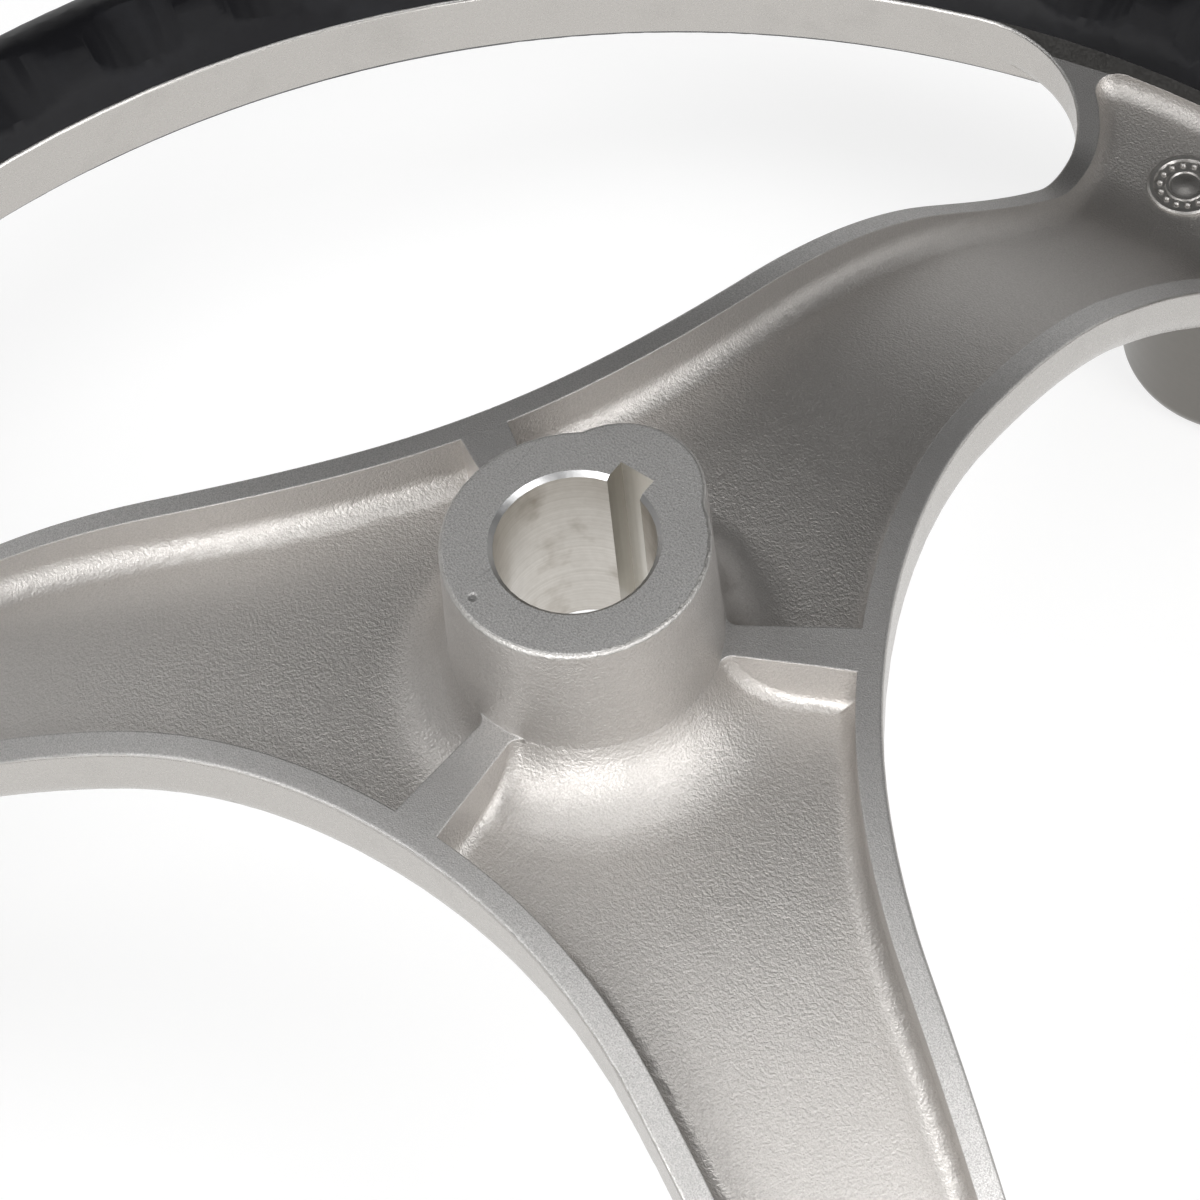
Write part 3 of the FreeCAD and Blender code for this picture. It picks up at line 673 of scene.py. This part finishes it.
@dataclass
class WheelCasting:
    """The cast wheel. Lengths are in metres.

    Args:
        bore_radius: Radius of the shaft bore.
        bore_front: Level of the bore's front end.
        chamfer: Width of the bore's chamfer, with a margin.
        key_half_width: Half the keyway's width.
        key_reach: How far from the shaft axis the keyway's floor lies, with a margin.
        nut_seat: Radius of the recess for the shaft nut.
        boss_edge: Height of the rounding round the boss's rear face, with a margin.
        boss_foot: Radius of the boss at its foot, past which the walls' tops lie.
        boss_draft: How far the boss's side leans in over its height, with a margin.
        boss_height: How far the boss stands above the web's back.
        wall_edge: Height of the rounding along the walls, with a margin.
        ring_radius: Radius of the ring's inner side, past which its rear face is polished.
        foot_start: Level at which the round at the boss's foot leaves its side.
        foot_round: Radius of that round.
        foot_ledge: Width of the ledge where the channels cut that round, with a margin.
        rear_rim: Level of the ring's rear edge.
        dish_slope: Slope of the dish, in degrees.
        dish_corner: Radius at which the back's two straight runs would meet near the boss.
        hub_bend: Radius of the bend near the boss.
        rim_bend: Radius of the bend near the ring.
        probe: How far a wall's normal is followed to see what it faces.
        near: How close counts as touching.
        cut_snap: How near a cut points are moved onto it.
    """

    bore_radius: float = 9.525 * MM
    bore_front: float = -28.2 * MM
    chamfer: float = 0.9 * MM
    key_half_width: float = 2.38 * MM
    key_reach: float = 12.2 * MM
    nut_seat: float = 15.0 * MM
    boss_edge: float = 0.8 * MM
    boss_foot: float = 16.4 * MM
    boss_draft: float = 0.8 * MM
    boss_height: float = 18.4 * MM
    wall_edge: float = 0.7 * MM
    ring_radius: float = 148.3 * MM
    foot_start: float = -17.06 * MM
    foot_round: float = 9.68 * MM
    foot_ledge: float = 0.15 * MM
    rear_rim: float = -72.9 * MM
    dish_slope: float = 42.2
    dish_corner: float = 64.307 * MM
    hub_bend: float = 97.8 * MM
    rim_bend: float = 22.0 * MM
    probe: float = 1.2 * MM
    near: float = 0.1 * MM
    cut_snap: float = 0.1 * MICRON

    # How much of a face's normal points along the axis, at most on a drafted and on an upright face, and at
    # least on a level face, on a wall's top and, downwards, on the front. Then, how much of it points back to
    # the axis on the keyway's floor
    DRAFTED = 0.1
    UPRIGHT = 0.3
    LEVEL = 0.95
    WALL_TOP = 0.6
    FRONT = 0.2
    FACING_AXIS = 0.7

    def back_level(self, radius: float) -> float:
        """Level of the web's back at a radius.

        Args:
            radius: Distance from the shaft axis.

        Returns:
            The level along Z.
        """
        slope = math.radians(self.dish_slope)
        hub = -self.boss_height
        rim_corner = self.dish_corner + (hub - self.rear_rim) / math.tan(slope)
        hub_start = self.dish_corner - self.hub_bend * math.tan(slope / 2.0)
        rim_end = rim_corner + self.rim_bend * math.tan(slope / 2.0)
        if radius < hub_start:
            return hub
        if radius > rim_end:
            return self.rear_rim
        if radius > rim_end - self.rim_bend * math.sin(slope):
            return self.rear_rim + self.rim_bend - math.sqrt(self.rim_bend ** 2 - (rim_end - radius) ** 2)
        if radius < hub_start + self.hub_bend * math.sin(slope):
            return hub - self.hub_bend + math.sqrt(self.hub_bend ** 2 - (radius - hub_start) ** 2)
        return hub - (radius - self.dish_corner) * math.tan(slope)

    def zone(self, centre: Vector, normal: Vector, tree: BVHTree) -> Zone:
        """Tells which finish a face of the casting has.

        Args:
            centre: The face's centre.
            normal: The face's normal.
            tree: The casting's own surface.

        Returns:
            The zone.
        """
        radius = math.hypot(centre.x, centre.y)
        upright = abs(normal.z) < self.UPRIGHT
        # The keyway's floor gets the painted highlight, and its sides get the painted shade.
        if upright and 0.0 < centre.y < self.key_reach and abs(centre.x) < self.key_half_width + self.near:
            return Zone.KEY_FLOOR if normal.y < -self.FACING_AXIS else Zone.KEY_SIDE
        if radius < self.bore_radius + self.chamfer and centre.z > self.bore_front - self.near:
            if upright:
                return Zone.REAMED
            if normal.z < self.LEVEL:
                return Zone.CHAMFER
        if centre.z < self.bore_front and radius < self.nut_seat + self.near:
            return Zone.TURNED
        if centre.z > -self.boss_edge:
            return Zone.BOSS_TOP if normal.z > self.LEVEL else Zone.BOSS_EDGE
        if normal.z < -self.FRONT:
            return Zone.POLISHED
        depth = self.back_level(radius) - centre.z
        if radius > self.boss_foot and depth < self.near and normal.z > self.WALL_TOP:
            return Zone.EDGE if radius > self.ring_radius else Zone.GROUND
        if depth < self.wall_edge or upright:
            beside = centre + Vector((normal.x, normal.y, 0.0)).normalized() * self.probe
            above = Vector((beside.x, beside.y, self.boss_height))
            if tree.ray_cast(above, Vector((0.0, 0.0, -1.0)))[0] is None:
                return Zone.POLISHED if upright else Zone.EDGE
        return Zone.BLASTED

    def blend_foot(self, bm: bmesh.types.BMesh) -> None:
        """Carries the round at the boss's foot on up the boss's side, to where it leaves it.

        Args:
            bm: The casting's surface.
        """
        side = []
        for face in bm.faces:
            centre = face.calc_center_median()
            reach = math.hypot(centre.x, centre.y)
            beside = self.boss_foot - self.boss_draft < reach < self.boss_foot + self.near
            if beside and abs(face.normal.z) < self.DRAFTED and -self.boss_height < centre.z < 0.0:
                side.append(face)
        edges = {edge for face in side for edge in face.edges}
        geometry = [*side, *edges, *{vert for face in side for vert in face.verts}]
        for level in (self.foot_start, (self.foot_start - self.boss_height) / 2.0):
            cut = bmesh.ops.bisect_plane(bm, geom=geometry, dist=self.cut_snap, plane_co=(0.0, 0.0, level),
                                         plane_no=(0.0, 0.0, 1.0))
            geometry = cut["geom"]
        for vert in geometry:
            if isinstance(vert, bmesh.types.BMVert) and vert.co.z < self.foot_start:
                outwards = Vector((vert.co.x, vert.co.y, 0.0)).normalized()
                vert.co += outwards * (self.foot_start - vert.co.z) ** 2 / (2.0 * self.foot_round)
        ledge = [vert for vert in bm.verts if abs(vert.co.z + self.boss_height) < self.near
                 and math.hypot(vert.co.x, vert.co.y) < self.boss_foot + 2.0 * self.foot_ledge]
        bmesh.ops.remove_doubles(bm, verts=ledge, dist=self.foot_ledge)

    def build(self, materials: dict[Zone, bpy.types.Material]) -> bpy.types.Object:
        """Builds the casting's surface and gives each face its finish.

        Args:
            materials: The material of each zone.

        Returns:
            The piece.
        """
        piece = SmoothedNode("wheel_casting", "wheel", "cast_steel").copy()
        for zone in Zone:
            piece.data.materials.append(materials[zone])
        bm = bmesh.new()
        bm.from_mesh(piece.data)
        self.blend_foot(bm)
        tree = BVHTree.FromBMesh(bm)
        counts = {zone: 0 for zone in Zone}
        for face in bm.faces:
            zone = self.zone(face.calc_center_median(), face.normal, tree)
            face.material_index = zone.value
            counts[zone] += 1
        bm.to_mesh(piece.data)
        bm.free()
        LOG.info("casting zones: %s", {zone.name: count for zone, count in counts.items()})
        return piece


@dataclass
class SpokeEmblem:
    """A plain round emblem that stands on the keyed spoke's back, near the ring. Lengths are in metres.

    Args:
        place: Where its middle stands, across and along the spoke.
        floor_level: Level of the channel's floor there.
        sink: How far it reaches into the floor.
        outline: Distance from its middle and height over the floor, from its middle outwards.
        steps: Facets round it.
        bead_count: How many beads stand round it.
        bead_reach: Distance of the beads from its middle.
        bead_level: Height of the beads' middles over the floor.
        bead_radius: Radius of a bead.
        merge_distance: Points nearer than this become one.
        sharp_degrees: Edges sharper than this stay sharp.
    """

    place: tuple[float, float] = (-2.5 * MM, 134.5 * MM)
    floor_level: float = -75.5 * MM
    sink: float = 0.4 * MM
    outline: tuple[tuple[float, float], ...] = (
        (0.0, 0.55 * MM), (0.9 * MM, 0.5 * MM), (1.5 * MM, 0.3 * MM), (2.1 * MM, 0.28 * MM), (2.3 * MM, 0.48 * MM),
        (2.7 * MM, 0.48 * MM), (2.9 * MM, 0.28 * MM), (4.2 * MM, 0.28 * MM), (4.45 * MM, 0.6 * MM),
        (5.0 * MM, 0.62 * MM), (5.3 * MM, 0.4 * MM), (5.35 * MM, 0.0),
    )
    steps: int = 72
    bead_count: int = 14
    bead_reach: float = 3.55 * MM
    bead_level: float = 0.3 * MM
    bead_radius: float = 0.5 * MM
    merge_distance: float = 1.0 * MICRON
    sharp_degrees: float = 35.0

    def build(self, effects: SurfaceEffects) -> bpy.types.Object:
        """Builds the emblem and dresses it.

        Args:
            effects: The shared node groups.

        Returns:
            The piece.
        """
        bm = bmesh.new()
        outline = [*self.outline, (self.outline[-1][0], -self.sink), (0.0, -self.sink)]
        corners = [bm.verts.new((radius, 0.0, height)) for radius, height in outline]
        edges = [bm.edges.new(pair) for pair in zip(corners, corners[1:])]
        bmesh.ops.spin(bm, geom=corners + edges, cent=(0.0, 0.0, 0.0), axis=(0.0, 0.0, 1.0), angle=math.tau,
                       steps=self.steps, use_merge=True)
        bmesh.ops.remove_doubles(bm, verts=bm.verts, dist=self.merge_distance)
        bmesh.ops.recalc_face_normals(bm, faces=bm.faces)
        for index in range(self.bead_count):
            turn = math.tau * index / self.bead_count
            middle = Vector((self.bead_reach * math.cos(turn), self.bead_reach * math.sin(turn), self.bead_level))
            bmesh.ops.create_icosphere(bm, subdivisions=2, radius=self.bead_radius,
                                       matrix=Matrix.Translation(middle))
        bmesh.ops.translate(bm, verts=bm.verts, vec=(*self.place, self.floor_level))
        for face in bm.faces:
            face.smooth = True
        mesh = bpy.data.meshes.new("spoke_emblem")
        bm.to_mesh(mesh)
        bm.free()
        mesh.set_sharp_from_angle(angle=math.radians(self.sharp_degrees))
        mesh.materials.append(EMBLEM_STEEL.build(effects))
        piece = new_piece("spoke_emblem", mesh)
        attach(piece, "wheel")
        return piece


@dataclass(frozen=True)
class Lamp:
    """A soft round lamp that faces the wheel.

    Args:
        name: The lamp's name.
        azimuth: Where it stands, in degrees from X.
        elevation: Its elevation in degrees.
        power: Its power in watts.
        distance: How far it is from the origin, in metres.
        width: Its width in metres.
    """

    name: str
    azimuth: float
    elevation: float
    power: float
    distance: float = 1.8
    width: float = 1.0

    def build(self) -> None:
        """Hangs the lamp."""
        data = bpy.data.lights.new(self.name, "AREA")
        data.shape = "DISK"
        data.size = self.width
        data.energy = self.power
        lamp = bpy.data.objects.new(self.name, data)
        turn, lift = math.radians(self.azimuth), math.radians(self.elevation)
        away = Vector((math.cos(turn) * math.cos(lift), math.sin(turn) * math.cos(lift), math.sin(lift)))
        lamp.location = away * self.distance
        lamp.rotation_euler = away.to_track_quat("Z", "Y").to_euler()
        bpy.context.scene.collection.objects.link(lamp)


@dataclass
class Studio:
    """Floor, lights, world and camera. Lengths are in metres.

    Args:
        floor_level: Level of the floor.
        floor_size: Side of the floor.
        paper: The floor's colour.
        paper_roughness: The floor's roughness.
        paper_specular: The floor's specular level.
        seen_paper: The floor's colour as the camera and reflections see it.
        lift: How much they see the floor lifted towards white.
        wall: Sines of the elevations at which the white wall round the floor starts to darken and ends.
        ceiling: Colour of the world above that wall.
        camera_place: Where the camera stands.
        camera_turn: The camera's turn about X, Y and Z, in degrees.
        lens: The camera's focal length in millimetres.
        sensor: The width of its sensor in millimetres.
        clip_start: How near the camera sees.
        lamps: The lamps.
    """

    floor_level: float = -126.4 * MM
    floor_size: float = 14.0
    paper: Colour = (0.85, 0.85, 0.85)
    paper_roughness: float = 0.9
    paper_specular: float = 0.1
    seen_paper: Colour = (0.3, 0.3, 0.3)
    lift: float = 0.75
    wall: tuple[float, float] = (0.13, 0.182)
    ceiling: Colour = (0.03, 0.03, 0.03)
    camera_place: tuple[float, float, float] = (0.2174016, -0.2293670, 0.4528256)
    camera_turn: tuple[float, float, float] = (33.98594, 3.93110, 37.28310)
    lens: float = 144.41
    sensor: float = 36.0
    clip_start: float = 0.01
    lamps: tuple[Lamp, ...] = (
        Lamp("top_lamp", 0.0, 86.0, 7.0),
        Lamp("key_lamp", 270.0, 32.0, 16.0),
        Lamp("low_key_lamp", 300.0, 10.0, 24.5),
        Lamp("right_lamp", 0.0, 32.0, 9.3),
        Lamp("low_right_lamp", 0.0, 10.0, 11.9),
        Lamp("high_right_lamp", 0.0, 55.0, 5.3),
        Lamp("high_left_lamp", 225.0, 55.0, 6.3),
        Lamp("left_lamp", 180.0, 32.0, 2.1),
    )

    def build_camera(self) -> None:
        """Places the camera at the photograph's viewpoint."""
        data = bpy.data.cameras.new("camera")
        data.lens = self.lens
        data.sensor_width = self.sensor
        data.sensor_fit = "HORIZONTAL"
        data.clip_start = self.clip_start
        camera = bpy.data.objects.new("camera", data)
        camera.location = self.camera_place
        camera.rotation_euler = Euler([math.radians(value) for value in self.camera_turn])
        bpy.context.scene.collection.objects.link(camera)
        bpy.context.scene.camera = camera

    def build_floor(self) -> None:
        """Lays a pale floor that looks white to the camera and in reflections."""
        bm = bmesh.new()
        bmesh.ops.create_grid(bm, x_segments=1, y_segments=1, size=self.floor_size / 2.0)
        bmesh.ops.translate(bm, verts=bm.verts, vec=(0.0, 0.0, self.floor_level))
        mesh = bpy.data.meshes.new("floor")
        bm.to_mesh(mesh)
        bm.free()
        mesh.materials.append(self.floor_material())
        new_piece("floor", mesh)

    def floor_material(self) -> bpy.types.Material:
        """Builds the floor's paper.

        Returns:
            The material.
        """
        material, shader = new_material("floor_paper", Roughness=self.paper_roughness,
                                        Specular_IOR_Level=self.paper_specular, Emission_Color=(*WHITE, 1.0))
        tree = material.node_tree
        path = tree.nodes.new("ShaderNodeLightPath")
        seen = math_node(tree, "MAXIMUM", path.outputs["Is Camera Ray"], path.outputs["Is Glossy Ray"])
        seen = math_node(tree, "MAXIMUM", seen, path.outputs["Is Transmission Ray"])
        link(tree, mix_colours(tree, seen, self.paper, self.seen_paper), shader.inputs["Base Color"])
        link(tree, times(tree, seen, self.lift), shader.inputs["Emission Strength"])
        return material

    def build_world(self) -> None:
        """Makes the world a white wall round the floor with a dark ceiling above it."""
        world = bpy.data.worlds.new("studio_world")
        world.use_nodes = True
        tree = world.node_tree
        parts = tree.nodes.new("ShaderNodeSeparateXYZ")
        link(tree, tree.nodes.new("ShaderNodeTexCoord").outputs["Generated"], parts.inputs[0])
        above = ramp(tree, parts.outputs["Z"], self.wall)
        link(tree, mix_colours(tree, above, WHITE, self.ceiling), tree.nodes["Background"].inputs["Color"])
        bpy.context.scene.world = world

    def build(self) -> None:
        """Builds the whole studio."""
        self.build_camera()
        self.build_floor()
        for lamp in self.lamps:
            lamp.build()
        self.build_world()
        bpy.context.scene.view_settings.view_transform = "Standard"


DRESSED_NODES = (
    (SmoothedNode("rim_grip", "wheel", "grip"), GRIP_RUBBER),
    (SmoothedNode("shoulder_screw", "wheel", "turned_steel"), SCREW_STEEL),
    (SmoothedNode("head_washer", "wheel", "turned_steel"), SCREW_STEEL),
    (SmoothedNode("thrust_washer", "wheel", "bearing_plastic"), BUSH_PLASTIC),
    (SmoothedNode("rear_bush", "knob", "bearing_plastic"), BUSH_PLASTIC),
    (SmoothedNode("front_bush", "knob", "bearing_plastic"), BUSH_PLASTIC),
    (SmoothedNode("knob_body", "knob", "knob_steel"), KNOB_STEEL_PAINTED_SHADE),
    (SmoothedNode("knob_cap", "knob", "knob_steel"), KNOB_STEEL_PAINTED_SHADE),
)


def main() -> None:
    """Builds the studio and dresses the wheel, piece by piece."""
    logging.basicConfig(level=logging.INFO, format="%(name)s: %(message)s")
    Studio().build()
    LOG.info("studio built")
    effects = SurfaceEffects()
    zones = {zone: finish.build(effects) for zone, finish in CASTING_FINISHES.items()}
    casting = WheelCasting().build(zones)
    LOG.info("built %s", casting.name)
    emblem = SpokeEmblem().build(effects)
    LOG.info("built %s", emblem.name)
    built: dict[str, bpy.types.Material] = {}
    for node, finish in DRESSED_NODES:
        piece = node.copy()
        if finish.name not in built:
            built[finish.name] = finish.build(effects)
        piece.data.materials.append(built[finish.name])
        LOG.info("built %s", piece.name)


if __name__ == "__main__":
    main()
